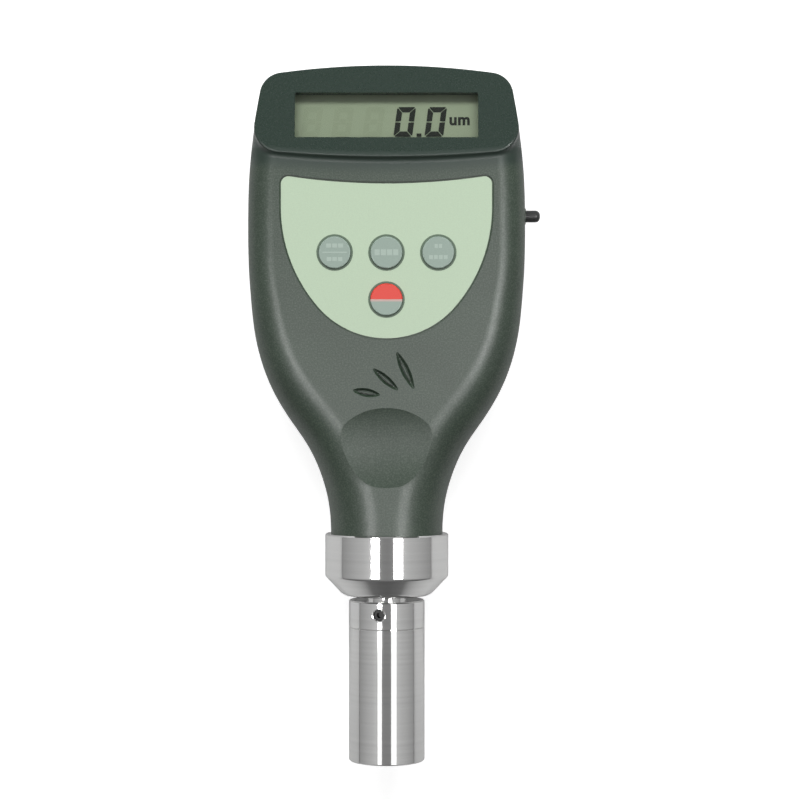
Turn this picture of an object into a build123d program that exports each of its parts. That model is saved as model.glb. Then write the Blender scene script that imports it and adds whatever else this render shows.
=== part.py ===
from build123d import *
from math import atan2, cos, radians, sin, sqrt, tan
import os

# Hand-held digital surface profile gauge, in millimetres, lying on its back with its face up.
# X runs across it, +Y along it towards the display, and +Z out of the face.
# The origin is on the flat back, on the centre line, 81 mm from the foot's flat end.

os.makedirs("parts", exist_ok=True)

# Overall size
LENGTH = 162.3
FOOT_Y = -81.0
TOP_Y = FOOT_Y + LENGTH
FACE_Z = 27.2
PART_Z = 14.6  # the two shells part here, and the probe's axis lies in this plane
WALL = 2.0
FIT = 0.15  # clearance between parts that come apart by hand

# Plan outline of the case: half width at each station along it
SIDE_STATIONS = [
    (-27.6, 13.1),
    (-20.0, 13.7),
    (-12.7, 15.75),
    (-5.7, 19.2),
    (1.4, 24.1),
    (8.4, 27.65),
    (15.5, 30.0),
    (25.0, 31.4),
    (38.0, 32.15),
    (50.0, 32.15),
    (62.0, 31.4),
    (74.0, 29.7),
    (84.0, 27.7),
]
SIDE_SPANS = 16
SIDE_END_DIRECTION = (-0.2, 1)
TOP_ARCH_RADIUS = 176.0
PLAN_CORNER = 5.8
PLAN_CORNER_LEAST = 1.2
NECK_END_Y = SIDE_STATIONS[0][0]

# Edge rounding, which grows from the wide case towards the round neck
FRONT_ROUND = 6.4
BACK_ROUND = 4.0
NECK_ROUND = 11.8
ROUND_START_Y = 34.0
ROUND_END_Y = -22.0
NECK_LIFT = 1.5  # how far the neck rises off the plane of the flat back
NECK_RAMP_Y = -6.0
STRAIGHT_LEVELS = 4
ROUND_STEP = 15  # degrees between the outlines that a rounded edge is lofted through
PART_LINE = 0.2  # depth and height of the step on both shells that makes the line between them

# Display bezel, a flat facet that stands proud of the face and leans back towards the top end
BEZEL_START_Z = PART_Z + 3
BEZEL_EDGE_Y = 59.3
BEZEL_EDGE_Z = 28.3
BEZEL_TOP_Z = 25.0
BEZEL_ARC = 288.0
BEZEL_CORNER = 6.0
BEZEL_INSET = 0.35
BEZEL_ROUND = 0.5
BEZEL_FOOT_ROUND = 1.5
BEZEL_TILT = atan2(BEZEL_EDGE_Z - BEZEL_TOP_Z, TOP_Y - BEZEL_EDGE_Y)

# Display window, the clear pane behind it and the display under the pane
WINDOW_Y = 69.25
WINDOW_UP = (WINDOW_Y - BEZEL_EDGE_Y) / cos(BEZEL_TILT)
WINDOW_SIZE = (42.2, 10.6)
WINDOW_CORNER = 0.4
GLASS_SIZE = (45.4, 13.2)
GLASS_THICK = 1.0
LCD_SIZE = (44.8, 13.6)
LCD_THICK = 2.0
LCD_GAP = 0.35
LCD_DEPTH = WALL + GLASS_THICK + LCD_GAP
CARRIER_WALL = 0.8
CARRIER_LEDGE = 1.4

# Keypad
KEY_Y = 37.6
KEY_PITCH = 11.9
POWER_Y = 26.8
KEYS = {
    "mode_key": (-KEY_PITCH, KEY_Y),
    "zero_key": (0.0, KEY_Y),
    "unit_key": (KEY_PITCH, KEY_Y),
    "power_key": (0.0, POWER_Y),
}
KEY_HOLE_D = 8.3
KEY_D = 7.4
KEY_PROUD = 0.35
KEY_EDGE = 0.3
KEY_FLANGE_R = 4.7
KEY_FLANGE_THICK = 0.8
KEY_FLANGE_Z = FACE_Z - WALL - 0.05 - KEY_FLANGE_THICK
PAD_RECESS = 0.6
PAD_THICK = 0.35
PAD_GAP = 0.4
PAD_HALF_X = 24.24
PAD_SIDE_Y = 48.0
PAD_SIDE_RADIUS = 35.0
PAD_SIDE_SWEEP = 41.0  # degrees that each side arc turns before it meets the lower arc
PAD_TOP_Y = 55.4
PAD_SAG = 1.95
PAD_CORNER = 1.7

# Grip: three leaf grooves above a thumb dimple, as (tip, tail, width) of each leaf
LEAVES = [
    ((-8.0, 6.0), (-1.2, 4.85), 2.0),
    ((-3.4, 11.2), (3.0, 5.7), 1.9),
    ((2.15, 15.15), (6.5, 5.85), 2.1),
]
LEAF_DEPTH = 0.7
LEAF_FLOOR = 0.3
LEAF_RIDGE_BASE = 0.36
LEAF_RIDGE_TOP = 0.43
LEAF_TIP_ROUND = 0.3
DIMPLE_Y = -7.3
DIMPLE_DEPTH = 1.9
DIMPLE_ALONG_RADIUS = 23.2
DIMPLE_ACROSS_RADIUS = 38.0
DIMPLE_HALF_X = 12.0
DIMPLE_HALF_Y = 9.2
DIMPLE_PAD = 1.6
DIMPLE_REACH = 12.0
DIMPLE_BOTTOM_Z = FACE_Z - DIMPLE_DEPTH
DIMPLE_AXIS_Z = DIMPLE_BOTTOM_Z + DIMPLE_ACROSS_RADIUS

# Electronics
BOARD_Z = 18.6
BOARD_THICK = 1.6
BOARD_TOP = BOARD_Z + BOARD_THICK
BOARD_SIDE = [(13.0, 8.5), (22.8, 20.0), (23.0, 76.5)]
BOARD_CORNER = 2.0
MAT_SIZE = (36.0, 22.0)
MAT_CORNER = 3.0
MAT_THICK = 1.0
MAT_DOME_R = 3.4
MAT_DOME_TAPER = 15
MAT_DOME_TOP_Z = 23.5

# Data jack and its dust plug
CASE_SIDE_X = 32.2
JACK_Y = 46.75
JACK_Z = 16.7
JACK_BODY_X = 18.0
JACK_BODY_LENGTH = 10.0
JACK_WIDTH = 6.0
JACK_HEIGHT = 3.8
JACK_END_X = 29.9
JACK_NOSE_R = 1.8
JACK_BORE_DEPTH = 9.0
JACK_HOLE_R = 1.65
JACK_RIM_R = 2.08
JACK_RIM_PROUD = 0.35
JACK_RIM_TAPER = 15
PLUG_PIN_R = 1.0
PLUG_PIN_GAP = 0.5
PLUG_STUB_START_X = JACK_END_X + 0.2
PLUG_STUB_R = 1.4
PLUG_STUB_ROUND = 1.1
PLUG_END_X = 35.9

# Battery bay: cells side by side, facing up and down by turns
CELL_COUNT = 4
CELL_R = 5.25
CELL_LENGTH = 44.5
CELL_NUB = 1.2
CELL_NUB_R = 2.75
CELL_EDGE = 0.4
CELL_PITCH = 11.0
CELL_Z = 7.85
CELL_Y = 43.5
CONTACT_GAP = 1.5
CONTACT_THICK = 0.4
CONTACT_WIDTH = 8.0
CONTACT_NUB_R = 2.2
CONTACT_SPRING_R = 2.1
TRAY_WALL = 1.2
TRAY_SPARE = 0.45
TRAY_WIDTH = (CELL_COUNT - 1) * CELL_PITCH + 2 * (CELL_R + TRAY_SPARE + TRAY_WALL)
TRAY_LENGTH = CELL_LENGTH + 2 * (CONTACT_GAP + TRAY_WALL)
TRAY_TOP_Z = 14.5
TRAY_RIB = 0.4
TRAY_RIB_LENGTH = 40.5
TRAY_RIB_DROP = 4.0
TRAY_END_RELIEF = 3.4
DOOR_END_Y = 19.4
DOOR_HALF = 22.6
DOOR_THICK = 2.0
DOOR_BEVEL = 0.9
DOOR_BELOW = 1.0
GRIP_Y = 27.0
GRIP_PITCH = 2.2
GRIP_COUNT = 5
GRIP_LENGTH = 18.0
GRIP_WIDTH = 1.0
GRIP_DEPTH = 0.4

# Fasteners
SCREW_HOLE_SPARE = 0.5
CASE_SCREWS = [(-27.4, 56.0), (27.4, 56.0), (-12.0, 4.5), (12.0, 4.5)]
CASE_SCREW_R = 1.1
CASE_SCREW_BITE = 6.5
CASE_HEAD_R = 2.0
CASE_HEAD_Z = 1.2
CASE_HEAD_THICK = 1.6
BOSS_R = 2.8
CROSS_LENGTH = 2.4
CROSS_WIDTH = 0.5
CROSS_DEPTH = 0.9
BOARD_SCREWS = [(-18.0, 53.0), (18.0, 53.0), (-16.0, 14.0), (16.0, 14.0)]
BOARD_SCREW_R = 0.9
BOARD_SCREW_BITE = 4.0
BOARD_HEAD_R = 1.8
BOARD_HEAD_THICK = 1.3
POST_R = 2.4

# Probe, all turned about one axis
SNUG = 0.05  # clearance between parts that are clamped or pressed together
PROBE_AXIS = Axis((0, 0, PART_Z), (0, 1, 0))
TURNED_EDGE = 0.3
SEAM_EDGE = 0.15
COLLAR_R = 14.5
COLLAR_CHAMFER_Y = -37.6
COLLAR_END_Y = -42.2
COLLAR_END_R = 10.1
COLLAR_SHOULDER_ROUND = 0.8
COLLAR_END_ROUND = 3.0
SPIGOT_R = 10.0
SPIGOT_END_Y = -15.6
SPIGOT_FLANGE_R = 11.4
SPIGOT_FLANGE_Y = (-21.6, -19.6)
SPIGOT_BORE_SPARE = 1.0
CAVITY_START_Y = SPIGOT_END_Y + 1
COIL_BORE_R = 8.0
COIL_FLOOR_Y = -38.2
COIL_TOP_Y = -17.6
COIL_INNER_R = 2.8
STEM_R = 4.5
STEM_BORE_R = 2.4
STEM_END_Y = -47.6
FOOT_R = 8.9
CAP_TOP_Y = -43.2
CAP_SEAM_Y = -49.6
CAP_SPIGOT_R = 6.0
CAP_SPIGOT_END_Y = -54.6
FOOT_FLOOR_Y = -77.0
BUSH_R = 3.0
BUSH_SINK = 0.2
SET_SCREW_Y = -46.2
SET_SCREW_ANGLE = 12.0
SET_SCREW_R = 1.25
SET_SCREW_RIM = 0.3
SET_SCREW_LENGTH = 3.4
SET_SCREW_HEX_R = 0.75

# Stylus
SHAFT_R = 1.2
SHAFT_FIT = 0.04
SHAFT_TOP_Y = -21.0
CORE_R = 2.2
CORE_LENGTH = 12.0
STYLUS_PROUD = 1.0
TIP_TOP_Y = -78.6
TIP_FLAT_R = 0.06
TIP_HALF_ANGLE = 30
TIP_END_Y = FOOT_Y - STYLUS_PROUD
TIP_CONE_Y = TIP_END_Y + (SHAFT_R - TIP_FLAT_R) / tan(radians(TIP_HALF_ANGLE))
SEAT_R = 5.2
SEAT_TOP_Y = -75.0
SPRING_R = 4.0
SPRING_WIRE_R = 0.3
SPRING_WIRE_SIDES = 8
SPRING_TURNS = 5
SPRING_LENGTH = CAP_SPIGOT_END_Y - SEAT_TOP_Y - 2 * SPRING_WIRE_R


def rounding(depth, radius):
    """How far a quarter round of this radius has turned in at this depth into it."""
    reach = min(max(depth, 0.0), radius)
    return radius - sqrt(radius**2 - reach**2)


def edge_round(y, wide):
    """Edge radius at this station, from the wide case's value to the neck's."""
    share = min(1.0, max(0.0, (ROUND_START_Y - y) / (ROUND_START_Y - ROUND_END_Y)))
    return wide + share * (NECK_ROUND - wide)


side_line = Spline(
    *[(half, y) for y, half in SIDE_STATIONS],
    tangents=[(0, 1), SIDE_END_DIRECTION],
    mode=Mode.PRIVATE,
)


def bezel_plane(depth=0.0):
    """The display bezel's flat facet, or the plane this far under it."""
    facet = Plane(
        origin=(0, BEZEL_EDGE_Y, BEZEL_EDGE_Z),
        x_dir=(1, 0, 0),
        z_dir=(0, sin(BEZEL_TILT), cos(BEZEL_TILT)),
    )
    return facet.offset(-depth)


def plan_outline(z, inset, start_y=NECK_END_Y):
    """The case's outline at height z, moved in by inset(y) along its own normal."""
    points = []
    for i in range(SIDE_SPANS + 1):
        on_side = side_line @ (i / SIDE_SPANS)
        along = side_line % (i / SIDE_SPANS)
        move = inset(on_side.Y)
        points.append((on_side.X - along.Y * move, on_side.Y + along.X * move))
    end_inset = inset(TOP_Y)
    with BuildSketch(Plane.XY.offset(z)) as outline:
        with BuildLine():
            side = Spline(*points, tangents=[side_line % 0, side_line % 1])
            mirror(side, about=Plane.YZ)
            Line(side @ 0, (-(side @ 0).X, (side @ 0).Y))
            Line(side @ 1, (-(side @ 1).X, (side @ 1).Y))
        make_face()
        with Locations((0, TOP_Y - TOP_ARCH_RADIUS)):
            Circle(TOP_ARCH_RADIUS - end_inset, mode=Mode.INTERSECT)
        fillet(outline.vertices().group_by(Axis.Y)[-1], max(PLAN_CORNER_LEAST, PLAN_CORNER - end_inset))
        if start_y > NECK_END_Y:
            with Locations((0, start_y)):
                Rectangle(LENGTH, LENGTH, align=(Align.CENTER, Align.MIN), mode=Mode.INTERSECT)
    return outline.sketch


def half_form(height, wide, up, wall=0.0, start_y=NECK_END_Y):
    """Lofted half of the case, from the parting plane to its rounded outer face."""
    curve_start = height - wide
    curve_radius = wide - wall
    steps = [curve_start * i / STRAIGHT_LEVELS for i in range(STRAIGHT_LEVELS)]
    for angle in range(0, 91, ROUND_STEP):
        steps.append(curve_start + curve_radius * sin(radians(angle)))

    def level_inset(step):
        def inset(y):
            radius = edge_round(y, wide)
            return wall + rounding(step - (height - radius), radius - wall)

        return inset

    outlines = [plan_outline(PART_Z + up * step, level_inset(step), start_y) for step in steps]
    with BuildPart() as form:
        loft(sections=[outline.face() for outline in outlines])
    return form.part


def part_line_step(up):
    """Ring that cuts one shell's half of the line between the shells."""
    with BuildPart() as ring:
        with BuildSketch(Plane.XY.offset(PART_Z)):
            add(plan_outline(0, lambda y: -PART_LINE))
            add(plan_outline(0, lambda y: PART_LINE), mode=Mode.SUBTRACT)
        extrude(amount=up * PART_LINE)
    return ring.part


def pad_outline(grow):
    """Shield outline of the keypad overlay, grown all round."""
    side_x = PAD_HALF_X - PAD_SIDE_RADIUS
    low_radius = PAD_SIDE_RADIUS + side_x / cos(radians(PAD_SIDE_SWEEP))
    low_y = PAD_SIDE_Y + side_x * tan(radians(PAD_SIDE_SWEEP))
    with BuildSketch() as outline:
        with BuildLine():
            side = CenterArc((side_x, PAD_SIDE_Y), PAD_SIDE_RADIUS + grow, 0, -PAD_SIDE_SWEEP)
            upright = Line(side @ 0, ((side @ 0).X, PAD_TOP_Y + grow))
            mirror(side, about=Plane.YZ)
            mirror(upright, about=Plane.YZ)
            ThreePointArc(side @ 1, (0, low_y - low_radius - grow), (-(side @ 1).X, (side @ 1).Y))
            corner = upright @ 1
            ThreePointArc(corner, (0, corner.Y - PAD_SAG), (-corner.X, corner.Y))
        make_face()
        fillet(outline.vertices().group_by(Axis.Y)[-1], PAD_CORNER + grow)
    return outline.sketch


def leaf(tip, tail, width, shrink):
    """Slim leaf between two arcs, drawn in from its own outline by this share."""
    start = Vector(tip) + (Vector(tail) - Vector(tip)) * shrink / 2
    end = Vector(tail) + (Vector(tip) - Vector(tail)) * shrink / 2
    middle = (start + end) / 2
    bulge = (end - start).normalized().rotate(Axis.Z, 90) * width / 2 * (1 - 2 * shrink)
    with BuildSketch() as outline:
        with BuildLine():
            ThreePointArc(start, middle + bulge, end)
            ThreePointArc(end, middle - bulge, start)
        make_face()
        fillet(outline.vertices(), LEAF_TIP_ROUND * (1 - 2 * shrink))
    return outline.sketch


def door_slide(fit):
    """Dovetailed prism of the battery door, or its opening with this clearance."""
    top_half = DOOR_HALF + fit
    slope = DOOR_BEVEL / DOOR_THICK
    base_half = top_half - slope * (DOOR_THICK + fit + DOOR_BELOW)
    with BuildPart() as slide:
        with BuildSketch(Plane.XZ.offset(fit - DOOR_END_Y)):
            with BuildLine():
                Polyline(
                    (-base_half, -DOOR_BELOW),
                    (base_half, -DOOR_BELOW),
                    (top_half, DOOR_THICK + fit),
                    (-top_half, DOOR_THICK + fit),
                    close=True,
                )
            make_face()
        extrude(amount=-LENGTH / 2)
    return slide.part


def turned_face(*corners):
    """Half section of a turned piece, from its (radius, y) corners."""
    with BuildSketch(Plane.XY.offset(PART_Z)) as section:
        with BuildLine():
            Polyline(*[(-radius, y) for radius, y in corners], close=True)
        make_face()
    return section.sketch


def spigot_section(fit):
    """Half section of the neck's bore round the collar's spigot and its flange."""
    return turned_face(
        (0, NECK_END_Y - SPIGOT_BORE_SPARE),
        (SPIGOT_R + fit, NECK_END_Y - SPIGOT_BORE_SPARE),
        (SPIGOT_R + fit, SPIGOT_FLANGE_Y[0] - fit),
        (SPIGOT_FLANGE_R + fit, SPIGOT_FLANGE_Y[0] - fit),
        (SPIGOT_FLANGE_R + fit, SPIGOT_FLANGE_Y[1] + fit),
        (SPIGOT_R + fit, SPIGOT_FLANGE_Y[1] + fit),
        (SPIGOT_R + fit, CAVITY_START_Y + SPIGOT_BORE_SPARE),
        (0, CAVITY_START_Y + SPIGOT_BORE_SPARE),
    )


dimple_rise = rounding(DIMPLE_REACH, DIMPLE_ALONG_RADIUS)
neck_ramp = Plane(
    origin=(0, NECK_RAMP_Y, 0),
    x_dir=(1, 0, 0),
    z_dir=(0, NECK_LIFT, NECK_RAMP_Y - NECK_END_Y),
)
set_screw_plane = Plane(
    origin=(0, SET_SCREW_Y, PART_Z),
    z_dir=(-sin(radians(SET_SCREW_ANGLE)), 0, cos(radians(SET_SCREW_ANGLE))),
)
front_height = FACE_Z - PART_Z
front_form = half_form(front_height, FRONT_ROUND, 1)
front_cavity = half_form(front_height, FRONT_ROUND, 1, WALL, CAVITY_START_Y)
back_form = half_form(PART_Z, BACK_ROUND, -1)
back_cavity = half_form(PART_Z, BACK_ROUND, -1, WALL, CAVITY_START_Y)

# Front shell

with BuildPart() as front_hollow:
    add(front_cavity)
    split(bisect_by=bezel_plane(WALL), keep=Keep.BOTTOM)
    with BuildSketch(Plane.XY.offset(PART_Z)):
        with Locations(*CASE_SCREWS):
            Circle(BOSS_R)
    extrude(amount=front_height, mode=Mode.SUBTRACT)
    with BuildSketch(Plane.XY.offset(BOARD_TOP)):
        with Locations(*BOARD_SCREWS):
            Circle(POST_R)
    extrude(amount=front_height, mode=Mode.SUBTRACT)
    with BuildSketch(Plane.XY.offset(FACE_Z - WALL - DIMPLE_PAD)):
        with Locations((0, DIMPLE_Y)):
            Ellipse(DIMPLE_HALF_X + DIMPLE_PAD, DIMPLE_HALF_Y + DIMPLE_PAD)
    extrude(amount=front_height, mode=Mode.SUBTRACT)

with BuildPart() as thumb_cutter:
    with BuildSketch(Plane.YZ):
        with BuildLine():
            dimple_arc = ThreePointArc(
                (DIMPLE_Y - DIMPLE_REACH, DIMPLE_BOTTOM_Z + dimple_rise),
                (DIMPLE_Y, DIMPLE_BOTTOM_Z),
                (DIMPLE_Y + DIMPLE_REACH, DIMPLE_BOTTOM_Z + dimple_rise),
            )
            Polyline(
                dimple_arc @ 1,
                (DIMPLE_Y + DIMPLE_REACH, DIMPLE_AXIS_Z),
                (DIMPLE_Y - DIMPLE_REACH, DIMPLE_AXIS_Z),
                dimple_arc @ 0,
            )
        make_face()
    revolve(axis=Axis((0, 0, DIMPLE_AXIS_Z), (0, 1, 0)))

with BuildPart() as leaf_cutter:
    for tip, tail, width in LEAVES:
        for top, base, mode in ((0, LEAF_FLOOR, Mode.ADD), (LEAF_RIDGE_TOP, LEAF_RIDGE_BASE, Mode.SUBTRACT)):
            with BuildSketch(Plane.XY.offset(FACE_Z)):
                add(leaf(tip, tail, width, top))
            with BuildSketch(Plane.XY.offset(FACE_Z - LEAF_DEPTH)):
                add(leaf(tip, tail, width, base))
            loft(ruled=True, mode=mode)

with BuildPart() as front_shell:
    add(front_form)
    with BuildSketch(Plane.XY.offset(BEZEL_START_Z)) as bezel_outline:
        add(plan_outline(0, lambda y: BEZEL_INSET))
        with Locations((0, BEZEL_EDGE_Y + BEZEL_ARC)):
            Circle(BEZEL_ARC, mode=Mode.INTERSECT)
        fillet(bezel_outline.vertices().group_by(Axis.Y)[0], BEZEL_CORNER)
    extrude(amount=front_height)
    split(bisect_by=bezel_plane(), keep=Keep.BOTTOM)
    bezel_face = front_shell.faces().filter_by(bezel_plane()).sort_by(Axis.Z)[-1]
    fillet(bezel_face.edges(), BEZEL_ROUND)
    at_face = front_shell.edges().filter_by_position(Axis.Z, FACE_Z - 0.01, FACE_Z + 0.01)
    bezel_foot = at_face.filter_by(GeomType.CIRCLE).sort_by(SortBy.LENGTH)[-1]
    fillet(bezel_foot, BEZEL_FOOT_ROUND)
    add(front_hollow.part, mode=Mode.SUBTRACT)
    # Window opening, and the pocket behind it for the clear window
    with BuildSketch(bezel_plane()):
        with Locations((0, WINDOW_UP)):
            RectangleRounded(*WINDOW_SIZE, WINDOW_CORNER)
    extrude(amount=-2 * WALL, mode=Mode.SUBTRACT)
    with BuildSketch(bezel_plane(WALL)):
        with Locations((0, WINDOW_UP)):
            Rectangle(GLASS_SIZE[0] + 2 * FIT, GLASS_SIZE[1] + 2 * FIT)
    extrude(amount=-2 * WALL, mode=Mode.SUBTRACT)
    # Keypad recess and key holes
    with BuildSketch(Plane.XY.offset(FACE_Z)):
        add(pad_outline(PAD_GAP))
    extrude(amount=-PAD_RECESS, mode=Mode.SUBTRACT)
    with BuildSketch(Plane.XY.offset(FACE_Z)):
        with Locations(*KEYS.values()):
            Circle(KEY_HOLE_D / 2)
    extrude(amount=-2 * WALL, mode=Mode.SUBTRACT)
    # Thumb dimple, and the leaf grooves with a thin ridge left standing in each
    add(thumb_cutter.part, mode=Mode.SUBTRACT)
    add(leaf_cutter.part, mode=Mode.SUBTRACT)
    # Neck bore for the collar's spigot, screw holes, and the hole for the data jack
    revolve(spigot_section(SNUG), axis=PROBE_AXIS, mode=Mode.SUBTRACT)
    with BuildSketch(Plane.XY.offset(PART_Z)):
        with Locations(*CASE_SCREWS):
            Circle(CASE_SCREW_R + SNUG)
    extrude(amount=CASE_SCREW_BITE + SCREW_HOLE_SPARE, mode=Mode.SUBTRACT)
    with BuildSketch(Plane.XY.offset(BOARD_TOP)):
        with Locations(*BOARD_SCREWS):
            Circle(BOARD_SCREW_R + SNUG)
    extrude(amount=BOARD_SCREW_BITE + SCREW_HOLE_SPARE, mode=Mode.SUBTRACT)
    add(part_line_step(1), mode=Mode.SUBTRACT)
    with BuildSketch(Plane.YZ.offset(CASE_SIDE_X - JACK_RIM_PROUD)):
        with Locations((JACK_Y, JACK_Z)):
            Circle(JACK_RIM_R)
    extrude(amount=2 * JACK_RIM_PROUD, taper=JACK_RIM_TAPER)
    with BuildSketch(Plane.YZ.offset(JACK_END_X)):
        with Locations((JACK_Y, JACK_Z)):
            Circle(JACK_HOLE_R)
    extrude(amount=PLUG_END_X - JACK_END_X, mode=Mode.SUBTRACT)

# Back shell

with BuildPart() as back_hollow:
    add(back_cavity)
    with BuildSketch():
        with Locations(*CASE_SCREWS):
            Circle(BOSS_R)
    extrude(amount=PART_Z, mode=Mode.SUBTRACT)

with BuildPart() as back_shell:
    add(back_form)
    split(bisect_by=neck_ramp, keep=Keep.TOP)
    add(back_hollow.part, mode=Mode.SUBTRACT)
    add(part_line_step(-1), mode=Mode.SUBTRACT)
    add(door_slide(FIT), mode=Mode.SUBTRACT)
    revolve(spigot_section(SNUG), axis=PROBE_AXIS, mode=Mode.SUBTRACT)
    with Locations(*[Plane((x, y, 0), z_dir=(0, 0, -1)) for x, y in CASE_SCREWS]):
        CounterBoreHole(CASE_SCREW_R + SNUG, CASE_HEAD_R + FIT, CASE_HEAD_Z + CASE_HEAD_THICK)

# Battery door, a dovetailed slide that runs out through the top end

with BuildPart() as battery_door:
    add(back_form)
    add(door_slide(0), mode=Mode.INTERSECT)
    with BuildSketch():
        with Locations((0, GRIP_Y)):
            with GridLocations(0, GRIP_PITCH, 1, GRIP_COUNT):
                SlotOverall(GRIP_LENGTH, GRIP_WIDTH)
    extrude(amount=GRIP_DEPTH, mode=Mode.SUBTRACT)

# Battery tray, open downwards, with its four cells and their contacts

with BuildPart() as battery_tray:
    with BuildSketch(Plane.XY.offset(WALL)):
        with Locations((0, CELL_Y)):
            Rectangle(TRAY_WIDTH, TRAY_LENGTH)
    extrude(amount=TRAY_TOP_Z - WALL)
    with BuildSketch(Plane.XY.offset(WALL)):
        with Locations((0, CELL_Y)):
            Rectangle(TRAY_WIDTH - 2 * TRAY_WALL, TRAY_LENGTH - 2 * TRAY_WALL)
    extrude(amount=TRAY_TOP_Z - TRAY_WALL - WALL, mode=Mode.SUBTRACT)
    with BuildSketch(Plane.XY.offset(TRAY_TOP_Z - TRAY_WALL)):
        with Locations((0, CELL_Y)):
            with GridLocations(CELL_PITCH, 0, CELL_COUNT - 1, 1):
                Rectangle(TRAY_RIB, TRAY_RIB_LENGTH)
    extrude(amount=-TRAY_RIB_DROP)
    with BuildSketch(Plane.XY.offset(WALL)):
        with Locations((0, CELL_Y + TRAY_LENGTH / 2)):
            Rectangle(TRAY_WIDTH - 2 * TRAY_WALL, TRAY_END_RELIEF)
    extrude(amount=2 * FIT, mode=Mode.SUBTRACT)

cells = {}
for number in range(CELL_COUNT):
    cell_x = (number - (CELL_COUNT - 1) / 2) * CELL_PITCH
    facing = 1 - 2 * (number % 2)
    tail_y = CELL_Y - facing * CELL_LENGTH / 2
    nose_y = CELL_Y + facing * (CELL_LENGTH / 2 - CELL_NUB)
    with BuildPart() as cell:
        with BuildSketch(Plane.XZ.offset(-tail_y)):
            with Locations((cell_x, CELL_Z)):
                Circle(CELL_R)
        extrude(amount=-facing * (CELL_LENGTH - CELL_NUB))
        chamfer(cell.edges().filter_by(GeomType.CIRCLE), CELL_EDGE)
        with BuildSketch(Plane.XZ.offset(-nose_y)):
            with Locations((cell_x, CELL_Z)):
                Circle(CELL_NUB_R)
        extrude(amount=-facing * CELL_NUB)
    cells[f"battery_{number + 1}"] = cell

with BuildPart() as cell_contacts:
    for side in (-1, 1):
        wall_y = CELL_Y + side * (TRAY_LENGTH / 2 - TRAY_WALL)
        with BuildSketch(Plane.XZ.offset(-wall_y)):
            with Locations((0, CELL_Z)):
                with GridLocations(CELL_PITCH, 0, CELL_COUNT, 1):
                    Rectangle(CONTACT_WIDTH, CONTACT_WIDTH)
        extrude(amount=side * CONTACT_THICK)
        for number in range(CELL_COUNT):
            cell_x = (number - (CELL_COUNT - 1) / 2) * CELL_PITCH
            facing = 1 - 2 * (number % 2)
            with BuildSketch(Plane.XZ.offset(-wall_y + side * CONTACT_THICK)):
                with Locations((cell_x, CELL_Z)):
                    Circle(CONTACT_NUB_R if facing == side else CONTACT_SPRING_R)
            extrude(amount=side * (CONTACT_GAP - CONTACT_THICK))

# Electronics: board, display and its carrier, clear window

with BuildPart() as main_board:
    with BuildSketch(Plane.XY.offset(BOARD_Z)) as board_outline:
        with BuildLine():
            board_side = Polyline(*BOARD_SIDE)
            mirror(board_side, about=Plane.YZ)
            Line(board_side @ 0, (-(board_side @ 0).X, (board_side @ 0).Y))
            Line(board_side @ 1, (-(board_side @ 1).X, (board_side @ 1).Y))
        make_face()
        fillet(board_outline.vertices(), BOARD_CORNER)
        with Locations(*BOARD_SCREWS):
            Circle(BOARD_SCREW_R + SNUG, mode=Mode.SUBTRACT)
    extrude(amount=BOARD_THICK)

with BuildPart() as display_window:
    with BuildSketch(bezel_plane(WALL)):
        with Locations((0, WINDOW_UP)):
            Rectangle(*GLASS_SIZE)
    extrude(amount=-GLASS_THICK)

with BuildPart() as lcd_panel:
    with BuildSketch(bezel_plane(LCD_DEPTH)):
        with Locations((0, WINDOW_UP)):
            Rectangle(*LCD_SIZE)
    extrude(amount=-LCD_THICK)

with BuildPart() as lcd_carrier:
    with BuildSketch(Plane.XY.offset(BOARD_TOP)):
        with Locations((0, WINDOW_Y)):
            Rectangle(LCD_SIZE[0] + 2 * CARRIER_WALL, LCD_SIZE[1] + 2 * CARRIER_WALL)
            Rectangle(LCD_SIZE[0] - 2 * CARRIER_LEDGE, LCD_SIZE[1] - 2 * CARRIER_LEDGE, mode=Mode.SUBTRACT)
    extrude(amount=front_height)
    split(bisect_by=bezel_plane(WALL + GLASS_THICK), keep=Keep.BOTTOM)
    with BuildSketch(bezel_plane(LCD_DEPTH + LCD_THICK)):
        with Locations((0, WINDOW_UP)):
            Rectangle(LCD_SIZE[0] + 2 * SNUG, LCD_SIZE[1] + 2 * SNUG)
    extrude(amount=2 * LCD_THICK, mode=Mode.SUBTRACT)

# Keypad: printed overlay, four keys that slide in the face, and the rubber mat under them

with BuildPart() as keypad_overlay:
    with BuildSketch(Plane.XY.offset(FACE_Z - PAD_RECESS)):
        add(pad_outline(0))
        with Locations(*KEYS.values()):
            Circle(KEY_HOLE_D / 2, mode=Mode.SUBTRACT)
    extrude(amount=PAD_THICK)

keys = {}
for name, place in KEYS.items():
    with BuildPart() as key:
        with BuildSketch(Plane.XY.offset(KEY_FLANGE_Z)):
            with Locations(place):
                Circle(KEY_FLANGE_R)
        extrude(amount=KEY_FLANGE_THICK)
        with BuildSketch(Plane.XY.offset(KEY_FLANGE_Z)):
            with Locations(place):
                Circle(KEY_D / 2)
        extrude(amount=FACE_Z + KEY_PROUD - KEY_FLANGE_Z)
        fillet(key.edges().sort_by(Axis.Z)[-1], KEY_EDGE)
    keys[name] = key

with BuildPart() as key_mat:
    with BuildSketch(Plane.XY.offset(BOARD_TOP)):
        with Locations((0, (KEY_Y + POWER_Y) / 2)):
            RectangleRounded(*MAT_SIZE, MAT_CORNER)
    extrude(amount=MAT_THICK)
    for place in KEYS.values():
        with BuildSketch(Plane.XY.offset(BOARD_TOP + MAT_THICK)):
            with Locations(place):
                Circle(MAT_DOME_R)
        extrude(amount=MAT_DOME_TOP_Z - BOARD_TOP - MAT_THICK, taper=MAT_DOME_TAPER)

# Data jack under the board's edge, and the rubber plug that keeps dust out of it

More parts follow.
